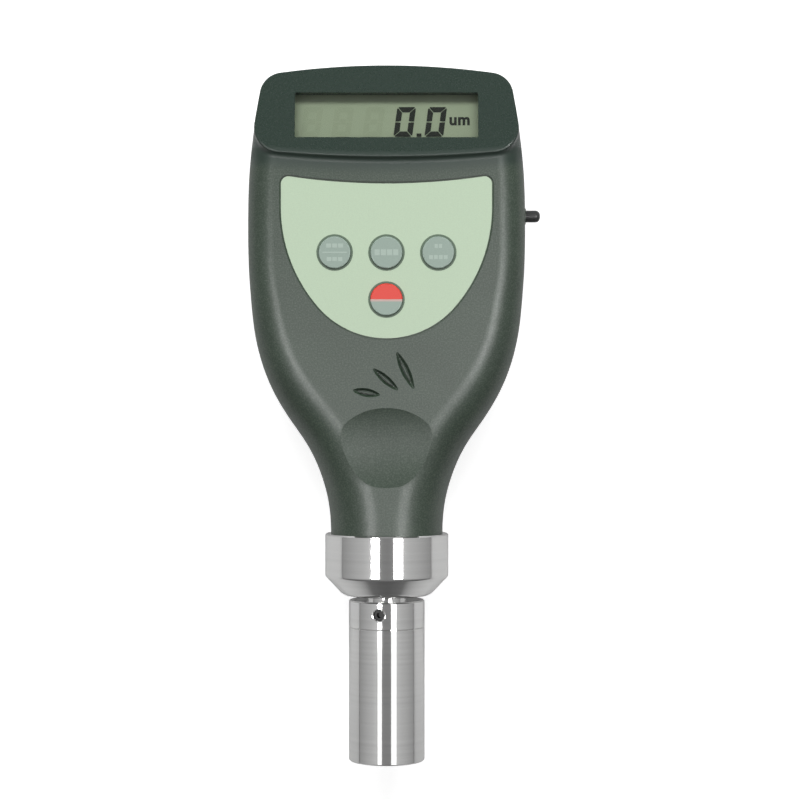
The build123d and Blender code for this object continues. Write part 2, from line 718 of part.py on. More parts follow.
with BuildPart() as data_jack:
    with BuildSketch(Plane.XY.offset(JACK_Z - JACK_HEIGHT / 2)):
        with Locations((JACK_BODY_X, JACK_Y)):
            Rectangle(JACK_BODY_LENGTH, JACK_WIDTH, align=(Align.MIN, Align.CENTER))
    extrude(amount=JACK_HEIGHT)
    with BuildSketch(Plane.YZ.offset(JACK_END_X)):
        with Locations((JACK_Y, JACK_Z)):
            Circle(JACK_NOSE_R)
    extrude(amount=-(JACK_END_X - JACK_BODY_X - JACK_BODY_LENGTH))
    with BuildSketch(Plane.YZ.offset(JACK_END_X)):
        with Locations((JACK_Y, JACK_Z)):
            Circle(PLUG_PIN_R + FIT)
    extrude(amount=-JACK_BORE_DEPTH, mode=Mode.SUBTRACT)

with BuildPart() as dust_plug:
    with BuildSketch(Plane.YZ.offset(JACK_END_X - JACK_BORE_DEPTH + PLUG_PIN_GAP)):
        with Locations((JACK_Y, JACK_Z)):
            Circle(PLUG_PIN_R)
    extrude(amount=JACK_BORE_DEPTH)
    with BuildSketch(Plane.YZ.offset(PLUG_STUB_START_X)):
        with Locations((JACK_Y, JACK_Z)):
            Circle(PLUG_STUB_R)
    extrude(amount=PLUG_END_X - PLUG_STUB_START_X)
    fillet(dust_plug.edges().sort_by(Axis.X)[-1], PLUG_STUB_ROUND)

# Fasteners

with BuildPart() as case_screws:
    for x, y in CASE_SCREWS:
        head_top = Plane.XY.offset(CASE_HEAD_Z + CASE_HEAD_THICK)
        with BuildSketch(head_top):
            with Locations((x, y)):
                Circle(CASE_HEAD_R)
        extrude(amount=-CASE_HEAD_THICK)
        with BuildSketch(head_top):
            with Locations((x, y)):
                Circle(CASE_SCREW_R)
        extrude(amount=PART_Z + CASE_SCREW_BITE - CASE_HEAD_Z - CASE_HEAD_THICK)
        with BuildSketch(Plane.XY.offset(CASE_HEAD_Z)):
            with Locations((x, y)):
                Rectangle(CROSS_LENGTH, CROSS_WIDTH)
                Rectangle(CROSS_WIDTH, CROSS_LENGTH)
        extrude(amount=CROSS_DEPTH, mode=Mode.SUBTRACT)

with BuildPart() as board_screws:
    with BuildSketch(Plane.XY.offset(BOARD_Z)):
        with Locations(*BOARD_SCREWS):
            Circle(BOARD_HEAD_R)
    extrude(amount=-BOARD_HEAD_THICK)
    with BuildSketch(Plane.XY.offset(BOARD_Z)):
        with Locations(*BOARD_SCREWS):
            Circle(BOARD_SCREW_R)
    extrude(amount=BOARD_THICK + BOARD_SCREW_BITE)

# Probe: collar clamped in the neck, with the sensing coil in its bore

with BuildPart() as sensor_collar:
    revolve(
        turned_face(
            (COIL_BORE_R, SPIGOT_END_Y),
            (SPIGOT_R, SPIGOT_END_Y),
            (SPIGOT_R, SPIGOT_FLANGE_Y[1]),
            (SPIGOT_FLANGE_R, SPIGOT_FLANGE_Y[1]),
            (SPIGOT_FLANGE_R, SPIGOT_FLANGE_Y[0]),
            (SPIGOT_R, SPIGOT_FLANGE_Y[0]),
            (SPIGOT_R, NECK_END_Y),
            (COLLAR_R, NECK_END_Y),
            (COLLAR_R, COLLAR_CHAMFER_Y),
            (COLLAR_END_R, COLLAR_END_Y),
            (STEM_R, COLLAR_END_Y),
            (STEM_R, COIL_FLOOR_Y),
            (COIL_BORE_R, COIL_FLOOR_Y),
        ),
        axis=PROBE_AXIS,
    )
    rims = sensor_collar.edges().filter_by(GeomType.CIRCLE).group_by(SortBy.RADIUS)[-1].sort_by(Axis.Y)
    chamfer(rims[-1], TURNED_EDGE)
    fillet(rims[0], COLLAR_SHOULDER_ROUND)
    end_edges = sensor_collar.edges().filter_by(GeomType.CIRCLE).group_by(Axis.Y)[0]
    fillet(end_edges.sort_by(SortBy.RADIUS)[-1], COLLAR_END_ROUND)

with BuildPart() as sensor_coil:
    revolve(
        turned_face(
            (COIL_INNER_R, COIL_FLOOR_Y),
            (COIL_BORE_R - SNUG, COIL_FLOOR_Y),
            (COIL_BORE_R - SNUG, COIL_TOP_Y),
            (COIL_INNER_R, COIL_TOP_Y),
        ),
        axis=PROBE_AXIS,
    )

with BuildPart() as coil_retainer:
    revolve(
        turned_face(
            (COIL_INNER_R, COIL_TOP_Y),
            (COIL_BORE_R, COIL_TOP_Y),
            (COIL_BORE_R, SPIGOT_END_Y),
            (COIL_INNER_R, SPIGOT_END_Y),
        ),
        axis=PROBE_AXIS,
    )

with BuildPart() as probe_stem:
    revolve(
        turned_face(
            (STEM_BORE_R, COIL_FLOOR_Y),
            (STEM_R, COIL_FLOOR_Y),
            (STEM_R, STEM_END_Y),
            (STEM_BORE_R, STEM_END_Y),
        ),
        axis=PROBE_AXIS,
    )

with BuildPart() as foot_cap:
    revolve(
        turned_face(
            (STEM_R, CAP_TOP_Y),
            (FOOT_R, CAP_TOP_Y),
            (FOOT_R, CAP_SEAM_Y),
            (CAP_SPIGOT_R, CAP_SEAM_Y),
            (CAP_SPIGOT_R, CAP_SPIGOT_END_Y),
            (BUSH_R, CAP_SPIGOT_END_Y),
            (BUSH_R, STEM_END_Y),
            (STEM_R, STEM_END_Y),
        ),
        axis=PROBE_AXIS,
    )
    rims = foot_cap.edges().filter_by(GeomType.CIRCLE).group_by(SortBy.RADIUS)[-1].sort_by(Axis.Y)
    chamfer(rims[-1], TURNED_EDGE)
    chamfer(rims[0], SEAM_EDGE)
    with BuildSketch(set_screw_plane.offset(STEM_R)):
        Circle(SET_SCREW_R)
    extrude(amount=FOOT_R, mode=Mode.SUBTRACT)
    screw_rim = foot_cap.edges().sort_by_distance(set_screw_plane.offset(FOOT_R).origin)[0]
    fillet(screw_rim, SET_SCREW_RIM)

with BuildPart() as set_screw:
    with BuildSketch(set_screw_plane.offset(STEM_R)):
        Circle(SET_SCREW_R)
    extrude(amount=SET_SCREW_LENGTH)
    with BuildSketch(set_screw_plane.offset(STEM_R + SET_SCREW_LENGTH)):
        RegularPolygon(SET_SCREW_HEX_R, 6)
    extrude(amount=-SET_SCREW_R, mode=Mode.SUBTRACT)

with BuildPart() as foot_tube:
    revolve(
        turned_face(
            (CAP_SPIGOT_R, CAP_SEAM_Y),
            (FOOT_R, CAP_SEAM_Y),
            (FOOT_R, FOOT_Y),
            (BUSH_R, FOOT_Y),
            (BUSH_R, FOOT_FLOOR_Y),
            (CAP_SPIGOT_R, FOOT_FLOOR_Y),
        ),
        axis=PROBE_AXIS,
    )
    rims = foot_tube.edges().filter_by(GeomType.CIRCLE).group_by(SortBy.RADIUS)[-1].sort_by(Axis.Y)
    chamfer(rims[-1], SEAM_EDGE)
    chamfer(rims[0], TURNED_EDGE)

with BuildPart() as upper_guide_bush:
    revolve(
        turned_face(
            (SHAFT_R + SHAFT_FIT, STEM_END_Y),
            (BUSH_R, STEM_END_Y),
            (BUSH_R, CAP_SPIGOT_END_Y),
            (SHAFT_R + SHAFT_FIT, CAP_SPIGOT_END_Y),
        ),
        axis=PROBE_AXIS,
    )

with BuildPart() as lower_guide_bush:
    revolve(
        turned_face(
            (SHAFT_R + SHAFT_FIT, FOOT_FLOOR_Y),
            (BUSH_R, FOOT_FLOOR_Y),
            (BUSH_R, FOOT_Y + BUSH_SINK),
            (SHAFT_R + SHAFT_FIT, FOOT_Y + BUSH_SINK),
        ),
        axis=PROBE_AXIS,
    )

# Stylus: everything that slides along the probe's axis, and the spring that pushes it out

with BuildPart() as stylus_shaft:
    revolve(
        turned_face(
            (0, SHAFT_TOP_Y),
            (SHAFT_R, SHAFT_TOP_Y),
            (SHAFT_R, TIP_TOP_Y),
            (0, TIP_TOP_Y),
        ),
        axis=PROBE_AXIS,
    )

with BuildPart() as stylus_tip:
    revolve(
        turned_face(
            (0, TIP_TOP_Y),
            (SHAFT_R, TIP_TOP_Y),
            (SHAFT_R, TIP_CONE_Y),
            (TIP_FLAT_R, TIP_END_Y),
            (0, TIP_END_Y),
        ),
        axis=PROBE_AXIS,
    )

with BuildPart() as spring_seat:
    revolve(
        turned_face(
            (SHAFT_R, FOOT_FLOOR_Y),
            (SEAT_R, FOOT_FLOOR_Y),
            (SEAT_R, SEAT_TOP_Y),
            (SHAFT_R, SEAT_TOP_Y),
        ),
        axis=PROBE_AXIS,
    )

with BuildPart() as sensor_core:
    revolve(
        turned_face(
            (SHAFT_R, SHAFT_TOP_Y),
            (CORE_R, SHAFT_TOP_Y),
            (CORE_R, SHAFT_TOP_Y - CORE_LENGTH),
            (SHAFT_R, SHAFT_TOP_Y - CORE_LENGTH),
        ),
        axis=PROBE_AXIS,
    )

with BuildPart() as stylus_spring:
    with BuildLine() as spring_path:
        Helix(
            pitch=SPRING_LENGTH / SPRING_TURNS,
            height=SPRING_LENGTH,
            radius=SPRING_R,
            center=(0, SEAT_TOP_Y + SPRING_WIRE_R, PART_Z),
            direction=(0, 1, 0),
        )
    with BuildSketch(Plane(origin=spring_path.line @ 0, z_dir=spring_path.line % 0)):
        RegularPolygon(SPRING_WIRE_R, SPRING_WIRE_SIDES)
    sweep()

# Every piece is written under its own name

pieces = {
    "front_shell": front_shell,
    "back_shell": back_shell,
    "battery_door": battery_door,
    "battery_tray": battery_tray,
    **cells,
    "cell_contacts": cell_contacts,
    "main_board": main_board,
    "display_window": display_window,
    "lcd_panel": lcd_panel,
    "lcd_carrier": lcd_carrier,
    "keypad_overlay": keypad_overlay,
    **keys,
    "key_mat": key_mat,
    "data_jack": data_jack,
    "dust_plug": dust_plug,
    "case_screws": case_screws,
    "board_screws": board_screws,
    "sensor_collar": sensor_collar,
    "sensor_coil": sensor_coil,
    "coil_retainer": coil_retainer,
    "probe_stem": probe_stem,
    "foot_cap": foot_cap,
    "set_screw": set_screw,
    "foot_tube": foot_tube,
    "upper_guide_bush": upper_guide_bush,
    "lower_guide_bush": lower_guide_bush,
    "stylus_shaft": stylus_shaft,
    "stylus_tip": stylus_tip,
    "spring_seat": spring_seat,
    "sensor_core": sensor_core,
    "stylus_spring": stylus_spring,
}
for name, piece in pieces.items():
    piece.part.label = name
    export_step(piece.part, f"parts/{name}.step")
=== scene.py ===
import math

import bpy
from mathutils import Matrix, Vector


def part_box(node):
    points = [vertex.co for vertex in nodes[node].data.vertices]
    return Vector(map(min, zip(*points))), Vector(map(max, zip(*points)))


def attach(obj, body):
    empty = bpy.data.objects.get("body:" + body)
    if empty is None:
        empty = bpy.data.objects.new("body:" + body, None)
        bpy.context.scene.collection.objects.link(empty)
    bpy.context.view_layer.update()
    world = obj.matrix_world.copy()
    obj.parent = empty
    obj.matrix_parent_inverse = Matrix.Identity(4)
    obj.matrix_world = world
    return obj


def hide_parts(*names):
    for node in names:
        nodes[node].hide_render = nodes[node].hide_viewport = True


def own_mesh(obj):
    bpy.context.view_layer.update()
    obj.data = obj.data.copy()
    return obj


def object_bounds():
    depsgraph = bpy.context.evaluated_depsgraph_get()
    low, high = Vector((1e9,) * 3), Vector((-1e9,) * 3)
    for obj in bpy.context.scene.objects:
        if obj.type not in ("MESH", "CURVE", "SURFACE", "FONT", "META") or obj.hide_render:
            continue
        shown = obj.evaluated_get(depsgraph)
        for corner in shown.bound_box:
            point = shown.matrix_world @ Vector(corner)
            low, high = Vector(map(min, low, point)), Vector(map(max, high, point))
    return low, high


# A hand-held surface profile gauge on a white table, seen from straight above.
# Lengths are in millimetres until they are multiplied by MM.

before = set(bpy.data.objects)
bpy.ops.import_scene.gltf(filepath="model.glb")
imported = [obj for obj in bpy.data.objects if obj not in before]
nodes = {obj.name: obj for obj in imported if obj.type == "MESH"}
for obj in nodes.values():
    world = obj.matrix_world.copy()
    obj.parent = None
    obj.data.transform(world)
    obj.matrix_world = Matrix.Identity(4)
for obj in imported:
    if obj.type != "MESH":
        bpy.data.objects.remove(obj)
cad_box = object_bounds()

MM = 0.001

# Camera, straight above and a little off the centre line
CAMERA_AT = (3.11, 3.73, 514.5)
FOCAL_PIXELS = 2123
PICTURE_PIXELS = 800
SENSOR = 36.0
CLIP_START = 10

# Strips of light on both sides that only gloss shows: span along x, span along y and radiance
STRIP_HEIGHT = 600
LEFT_STRIP_X = (-300, -153)
RIGHT_STRIP_X = (142, 330)
STRIPS = {
    "left_foot_strip": (LEFT_STRIP_X, (-220, -100), 1.2),
    "left_neck_strip": (LEFT_STRIP_X, (-100, -20), 34),
    "right_foot_strip": (RIGHT_STRIP_X, (-220, -100), 1.2),
    "right_neck_strip": (RIGHT_STRIP_X, (-100, -40), 8),
    "right_face_strip": (RIGHT_STRIP_X, (-40, 44), 26),
}

# Key light beyond the display end, which gloss doesn't show
KEY_AT = (0, 520, 680)
KEY_SIZE = (900, 200)
KEY_RADIANCE = 10.5

# Sky: grey level by the height of a direction, dimmed between two directions on the foot's side
SKY = [(0.0, 0.32), (0.70, 0.52), (0.84, 0.6), (0.95, 0.26), (1.0, 0.25)]
FOOT_SIDE_SPAN = (-0.6, -0.2)
FOOT_SIDE_SHADE = 0.4

# Floor: its shade, and the glow that only the camera sees, change along y from one end to the other
FLOOR_SIZE = 4000
FLOOR_NEAR_EDGE = -1500
FLOOR_DARK_Y = -240
FLOOR_LIGHT_Y = -56
FLOOR_SHADE = (0.22, 0.72)
FLOOR_GLOW = (1.0, 0.72)
FLOOR_DROP = 0.05

# Colours, as 8-bit sRGB
CASE = (40, 57, 43)
CASE_FLECK = (74, 87, 74)
# The bezel's own dark colour, which also runs on below the bezel's end as painted shadow under its
# step
BEZEL = (20, 44, 33)
# Dark green painted shade in the overlay's recess and the key holes
RECESS_SHADE = (44, 70, 44)
FILM = (190, 210, 183)
KEY_GREY = (150, 168, 157)
KEY_PRINT = (170, 187, 176)
# Dark ring round each key, painted shade over the gap round it
KEY_GAP_SHADE = (92, 112, 92)
POWER_RED = (227, 70, 58)
POWER_LINE = (198, 172, 164)
PANE = (30, 36, 32)
LCD_BACK = (168, 184, 153)
LCD_INK = (18, 26, 16)
LCD_GHOST = (163, 179, 148)
RUBBER = (54, 55, 55)
STEEL = (230, 230, 229)
STEEL_DULL = (160, 160, 160)
BLACK_PLASTIC = (28, 28, 28)
WHITE_PLASTIC = (205, 205, 200)
CELL_JACKET = (150, 152, 156)
CONTACT_PLATE = (206, 202, 190)
BOARD_GREEN = (28, 84, 52)
SCREW_STEEL = (52, 52, 52)
COPPER = (190, 110, 66)
BRONZE = (168, 130, 76)
GROUND_STEEL = (200, 200, 202)
CARBIDE = (84, 84, 88)
SPRING_STEEL = (180, 180, 180)

# Noise: the part of its range that is used, the size of its lumps and how rings are stretched
NOISE_SPAN = (0.3, 0.7)
CASE_GRAIN = 0.3
CASE_FLECKS = 0.34
CASE_CLOUDS = 9.0
STEEL_RINGS = 0.12
STEEL_WIDE_RINGS = 1.1
STEEL_SMEARS = 6.0
POWER_GRAIN = 0.3
PANE_HAZE = 3.0
ROUND_THE_PROBE = (0.0, 1.0, 0.0)

# Finishes: roughness from the smoothest to the roughest lumps, depths of grain, shares of colours
CASE_ROUGH = (0.37, 0.45)
CASE_SPECULAR = 0.8
CASE_GRAIN_DEPTH = 0.012
CASE_FLECK_SPAN = (0.42, 0.70)
CASE_FLECK_SHARE = 0.8
CASE_CLOUD_SHADE = (0.92, 1.08)
FACET_SMOOTHER = 0.12
STEP_ROUGHER = 0.08
DIMPLE_ROUGHER = 0.14
STEEL_ROUGH = (0.065, 0.085)
STEEL_RING_DEPTH = 0.0004
POWER_ROUGH = (0.42, 0.5)
POWER_GRAIN_DEPTH = 0.008
PANE_ROUGH = (0.04, 0.08)
PANE_ALPHA = 0.12
TINT_SPAN = (0.35, 0.65)
TINT_SHARE = 0.12
TINT_SHADE = 0.75
ROUGH_SPREAD = 0.04

# Places on the face that have a finish or a painted shade of their own, as in the frame
FACE_Z = 27.2
BEZEL_END_Y = 59.3
BEZEL_ARC_R = 288
RECESS_BOTTOM_Y = 17.4
RECESS_HALF_X = 25.0
RECESS_REACH = 29.9
RECESS_CENTRE_Y = 38.65
RECESS_DEPTHS = (0.1, 0.2)
DIMPLE_CENTRE_Y = -7.3
DIMPLE_HALF = (12.0, 9.2)
DIMPLE_FADE = (1.1, 0.7)

# Distances below the bezel's end between which a finish fades in, negative on the bezel; the
# bezel's dark colour runs on past its end as painted shadow under its step
FACET_REACH = (-0.9, -1.5)
STEP_REACH = (1.6, 1.0)
BEZEL_TONE_AND_SHADOW_REACH = (4.0, 1.6)

# Power key: heights from its middle at which the red half and the pale line begin
POWER_RED_FADE = (0.0, 0.05)
POWER_LINE_FADE = (-0.55, -0.35)

# Display figures, in the display's own plane from its centre
ZERO = "abcdef"
ALL_SEGMENTS = "abcdefg"
DIGIT_LEFT = (1.56, 8.73)
GHOST_LEFT = (-19.9, -12.8, -5.6)
DIGIT_WIDTH = 4.35
DIGIT_TOP = 2.8
DIGIT_BOTTOM = -4.3
DIGIT_STROKE = 1.28
DIGIT_CORNER = 0.4
DIGIT_SLANT = 0.133
SEGMENT_GAP = 0.1
DOT_AT = (7.5, -3.9)
DOT_SIZE = (1.15, 0.8)
UNIT = "um"
UNIT_AT = (14.45, -1.42)
UNIT_SIZE = 3.75
UNIT_BOLD = 0.14
UNIT_SPREAD = 1.06
INK_LIFT = 0.04
INK_THICK = 0.02
FACING_UP = 0.5

# Key legends: rows of plain blocks, each with its height on the key, its number of blocks
# and their size
LEGENDS = {
    "mode_key": [(1.55, 3, (1.15, 0.95)), (0.0, 1, (5.6, 0.3)), (-1.55, 3, (1.05, 0.95))],
    "zero_key": [(0.0, 4, (1.2, 1.4))],
    "unit_key": [(1.45, 2, (0.75, 0.95)), (-1.1, 4, (0.9, 0.95))],
}
LEGEND_GAP = 0.22
KEYS = ("mode_key", "zero_key", "unit_key", "power_key")
GAP_SHADE_RADII = (3.76, 4.2)
RIM_SEGMENTS = 64
PRINT_AND_SHADE_LIFT = 0.01
PRINT_AND_SHADE_THICK = 0.015


def linear(colour):
    """Linear RGBA of an 8-bit sRGB colour, by the standard's curve."""
    levels = []
    for value in colour:
        share = value / 255
        if share <= 0.04045:
            levels.append(share / 12.92)
        else:
            levels.append(((share + 0.055) / 1.055) ** 2.4)
    return (*levels, 1.0)


def metres(lengths):
    """Lengths in metres."""
    return [length * MM for length in lengths]


class Graph:
    """A node material under construction."""

    MIX_SHARE, MIX_FIRST, MIX_SECOND, MIX_RESULT = 0, 6, 7, 2

    def __init__(self, name):
        self.material = bpy.data.materials.new(name)
        self.material.use_nodes = True
        self.tree = self.material.node_tree
        self.tree.nodes.clear()
        self.shader = self.node("ShaderNodeBsdfPrincipled")
        output = self.node("ShaderNodeOutputMaterial")
        self.link(self.shader.outputs["BSDF"], output.inputs["Surface"])
        self.place = self.node("ShaderNodeTexCoord").outputs["Object"]

    def node(self, kind, **settings):
        """New node with these settings."""
        made = self.tree.nodes.new(kind)
        for key, value in settings.items():
            setattr(made, key, value)
        return made

    def link(self, source, target):
        """Links two sockets."""
        self.tree.links.new(source, target)

    def put(self, socket, value):
        """Links a socket to another one, or sets it to a plain value."""
        if isinstance(value, bpy.types.NodeSocket):
            self.link(value, socket)
        else:
            socket.default_value = value

    def feed(self, node, **values):
        """Sets or links a node's inputs by name, with _ for a space."""
        for key, value in values.items():
            self.put(node.inputs[key.replace("_", " ")], value)
        return node

    def noise(self, size_mm, detail=2.0, stretch=(1, 1, 1), rough=0.5):
        """Noise whose lumps are about this large."""
        mapping = self.node("ShaderNodeMapping")
        self.feed(mapping, Vector=self.place, Scale=stretch)
        texture = self.node("ShaderNodeTexNoise")
        scale = 1 / (size_mm * MM)
        self.feed(texture, Vector=mapping.outputs[0], Scale=scale, Detail=detail, Roughness=rough)
        return texture.outputs["Fac"]

    def ramp(self, value, span, result=(0.0, 1.0)):
        """Value mapped from one span to another."""
        mapped = self.node("ShaderNodeMapRange")
        low, high = span
        start, end = result
        self.feed(mapped, Value=value, From_Min=low, From_Max=high, To_Min=start, To_Max=end)
        return mapped.outputs[0]

    def math(self, operation, first, second=0.0):
        """Result of one sum on numbers or sockets."""
        made = self.node("ShaderNodeMath", operation=operation)
        for socket, value in zip(made.inputs, (first, second)):
            self.put(socket, value)
        return made.outputs[0]

    def squares(self, first, second):
        """Sum of the squares of two sockets."""
        return self.math(
            "ADD", self.math("MULTIPLY", first, first), self.math("MULTIPLY", second, second)
        )

    def mix(self, share, first, second):
        """Colour between two colours or colour sockets."""
        made = self.node("ShaderNodeMix", data_type="RGBA")
        self.put(made.inputs[self.MIX_SHARE], share)
        self.put(made.inputs[self.MIX_FIRST], first)
        self.put(made.inputs[self.MIX_SECOND], second)
        return made.outputs[self.MIX_RESULT]

    def axes(self):
        """Object x, y and z as separate sockets."""
        split = self.node("ShaderNodeSeparateXYZ")
        self.link(self.place, split.inputs[0])
        return split.outputs

    def bump(self, height, depth_mm):
        """Relief of this depth on the surface."""
        made = self.node("ShaderNodeBump")
        self.feed(made, Height=height, Distance=depth_mm * MM, Strength=1.0)
        self.link(made.outputs[0], self.shader.inputs["Normal"])


def case_plastic(name, face=False):
    """Dark green-grey moulded plastic with a fine spark-eroded grain.

    On the face, the bezel is smooth and dark, with painted shadow below its step, the groove round
    the overlay and the key holes are painted dark green as shade, and the dimple is coarser.
    """
    graph = Graph(name)
    grain = graph.noise(CASE_GRAIN, detail=3.0, rough=0.6)
    flecks = graph.ramp(graph.noise(CASE_FLECKS), CASE_FLECK_SPAN, (0.0, CASE_FLECK_SHARE))
    shade = graph.ramp(graph.noise(CASE_CLOUDS), NOISE_SPAN, CASE_CLOUD_SHADE)
    tone = graph.mix(flecks, linear(CASE), linear(CASE_FLECK))
    shaded = graph.feed(graph.node("ShaderNodeHueSaturation"), Color=tone, Value=shade)
    colour = shaded.outputs[0]
    depth = grain
    rough = graph.ramp(grain, NOISE_SPAN, CASE_ROUGH)
    if face:
        reach = bezel_reach(graph)
        facet = graph.ramp(reach, metres(FACET_REACH))
        step = graph.math("SUBTRACT", graph.ramp(reach, metres(STEP_REACH)), facet)
        # Painted shadow: the bezel's dark colour reaches past its end, over the step and onto the
        # face
        bezel = graph.ramp(reach, metres(BEZEL_TONE_AND_SHADOW_REACH))
        colour = graph.mix(bezel, colour, linear(BEZEL))
        # Painted shade: dark green in the overlay's recess and the key holes
        colour = graph.mix(recess_shade_mask(graph), colour, linear(RECESS_SHADE))
        depth = graph.math("MULTIPLY", grain, graph.math("SUBTRACT", 1.0, facet))
        rough = graph.math("SUBTRACT", rough, graph.math("MULTIPLY", facet, FACET_SMOOTHER))
        for mask, rougher in ((step, STEP_ROUGHER), (dimple_mask(graph), DIMPLE_ROUGHER)):
            rough = graph.math("ADD", rough, graph.math("MULTIPLY", mask, rougher))
    graph.feed(
        graph.shader, Base_Color=colour, Roughness=rough, Specular_IOR_Level=CASE_SPECULAR
    )
    graph.bump(depth, CASE_GRAIN_DEPTH)
    return graph.material


def bezel_reach(graph):
    """How far a point lies below the arc that ends the display bezel, negative on the bezel."""
    x, y, _ = graph.axes()
    along = graph.math("SUBTRACT", y, (BEZEL_END_Y + BEZEL_ARC_R) * MM)
    reach = graph.math("SQRT", graph.squares(x, along))
    return graph.math("SUBTRACT", reach, BEZEL_ARC_R * MM)


def recess_shade_mask(graph):
    """1 in the overlay's recess and in the key holes, which lie below the face and get painted
    shade.
    """
    x, y, z = graph.axes()
    below = graph.ramp(z, metres(FACE_Z - depth for depth in RECESS_DEPTHS))
    above_bottom = graph.math("GREATER_THAN", y, RECESS_BOTTOM_Y * MM)
    between_sides = graph.math("LESS_THAN", graph.math("ABSOLUTE", x), RECESS_HALF_X * MM)
    along = graph.math("SUBTRACT", y, RECESS_CENTRE_Y * MM)
    within_arc = graph.math("LESS_THAN", graph.squares(x, along), (RECESS_REACH * MM) ** 2)
    inside = below
    for limit in (above_bottom, between_sides, within_arc):
        inside = graph.math("MULTIPLY", inside, limit)
    return inside


def dimple_mask(graph):
    """1 in the middle of the thumb dimple, fading out towards its edge."""
    x, y, _ = graph.axes()
    half_x, half_y = metres(DIMPLE_HALF)
    across = graph.math("DIVIDE", x, half_x)
    along = graph.math("DIVIDE", graph.math("SUBTRACT", y, DIMPLE_CENTRE_Y * MM), half_y)
    return graph.ramp(graph.squares(across, along), DIMPLE_FADE)


def turned_steel():
    """Bright turned steel: rings round the probe's axis and a soft uneven sheen."""
    graph = Graph("turned_steel")
    rings = graph.noise(STEEL_RINGS, stretch=ROUND_THE_PROBE)
    wide_rings = graph.noise(STEEL_WIDE_RINGS, stretch=ROUND_THE_PROBE)
    share = graph.ramp(wide_rings, TINT_SPAN, (0.0, TINT_SHARE))
    tone = graph.mix(share, linear(STEEL), linear(STEEL_DULL))
    rough = graph.ramp(graph.noise(STEEL_SMEARS), NOISE_SPAN, STEEL_ROUGH)
    graph.feed(graph.shader, Base_Color=tone, Metallic=1.0, Roughness=rough)
    graph.bump(rings, STEEL_RING_DEPTH)
    return graph.material


def plain(name, colour, rough=0.5, metal=0.0, grain_mm=0.5, grain_depth=0.01):
    """Evenly coloured material with a fine surface grain."""
    graph = Graph(name)
    grain = graph.noise(grain_mm, detail=3.0)
    share = graph.ramp(grain, TINT_SPAN, (0.0, TINT_SHARE))
    tint = graph.mix(share, linear(colour), linear([value * TINT_SHADE for value in colour]))
    spread = graph.ramp(grain, NOISE_SPAN, (rough - ROUGH_SPREAD, rough + ROUGH_SPREAD))
    graph.feed(graph.shader, Base_Color=tint, Metallic=metal, Roughness=spread)
    graph.bump(grain, grain_depth)
    return graph.material


def power_key_material(split_y):
    """Red upper half and grey lower half, with a thin pale line between them."""
    graph = Graph("key_power")
    _, y, _ = graph.axes()
    upper = graph.ramp(y, [split_y + height for height in metres(POWER_RED_FADE)])
    line = graph.ramp(y, [split_y + height for height in metres(POWER_LINE_FADE)])
    colour = graph.mix(line, linear(KEY_GREY), linear(POWER_LINE))
    colour = graph.mix(upper, colour, linear(POWER_RED))
    grain = graph.noise(POWER_GRAIN)
    rough = graph.ramp(grain, NOISE_SPAN, POWER_ROUGH)
    graph.feed(graph.shader, Base_Color=colour, Roughness=rough)
    graph.bump(grain, POWER_GRAIN_DEPTH)
    return graph.material


def glass_material():
    """Clear pane."""
    graph = Graph("clear_pane")
    rough = graph.ramp(graph.noise(PANE_HAZE), NOISE_SPAN, PANE_ROUGH)
    graph.feed(graph.shader, Base_Color=linear(PANE), Roughness=rough, Alpha=PANE_ALPHA)
    return graph.material


def dress(names, material):
    """Gives CAD nodes this material."""
    for name in names:
        for slot in nodes[name].material_slots:
            slot.material = material


def mesh_piece(name, vertices, faces, material):
    """New object with this mesh, in the scene."""
    mesh = bpy.data.meshes.new(name)
    mesh.from_pydata([tuple(vertex) for vertex in vertices], [], faces)
    mesh.materials.append(material)
    piece = bpy.data.objects.new(name, mesh)
    bpy.context.scene.collection.objects.link(piece)
    return piece


def prism(name, outlines, plane, thick, material, body):
    """Thin flat piece with these outlines, standing on a plane given by origin, right and up."""
    origin, right, up = plane
    normal = right.cross(up)
    vertices = []
    faces = []
    for outline in outlines:
        start = len(vertices)
        count = len(outline)
        pairs = zip(outline, outline[1:] + outline[:1])
        if sum(a[0] * b[1] - b[0] * a[1] for a, b in pairs) < 0:
            outline = outline[::-1]
        for lift in (0.0, thick):
            for x, y in outline:
                vertices.append((origin + right * x + up * y + normal * lift) * MM)
        faces.append(list(range(start + count, start + 2 * count)))
        faces.append(list(range(start + count - 1, start - 1, -1)))
        for i in range(count):
            after = (i + 1) % count
            faces.append([start + i, start + after, start + count + after, start + count + i])
    piece = mesh_piece(name, vertices, faces, material)
    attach(piece, body)


def ring(name, centre, radii, thick, material):
    """Thin flat dark ring lying on the overlay round a key, painted shade over the gap round the
    key.
    """
    vertices = []
    for level, radius in ((0, radii[0]), (0, radii[1]), (thick, radii[1]), (thick, radii[0])):
        for step in range(RIM_SEGMENTS):
            turn = 2 * math.pi * step / RIM_SEGMENTS
            offset = Vector((radius * math.cos(turn), radius * math.sin(turn), level))
            vertices.append((Vector(centre) + offset) * MM)
    faces = []
    for loop in range(4):
        first, second = loop * RIM_SEGMENTS, (loop + 1) % 4 * RIM_SEGMENTS
        for step in range(RIM_SEGMENTS):
            after = (step + 1) % RIM_SEGMENTS
            faces.append([first + after, first + step, second + step, second + after])
    piece = mesh_piece(name, vertices, faces, material)
    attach(piece, "case")


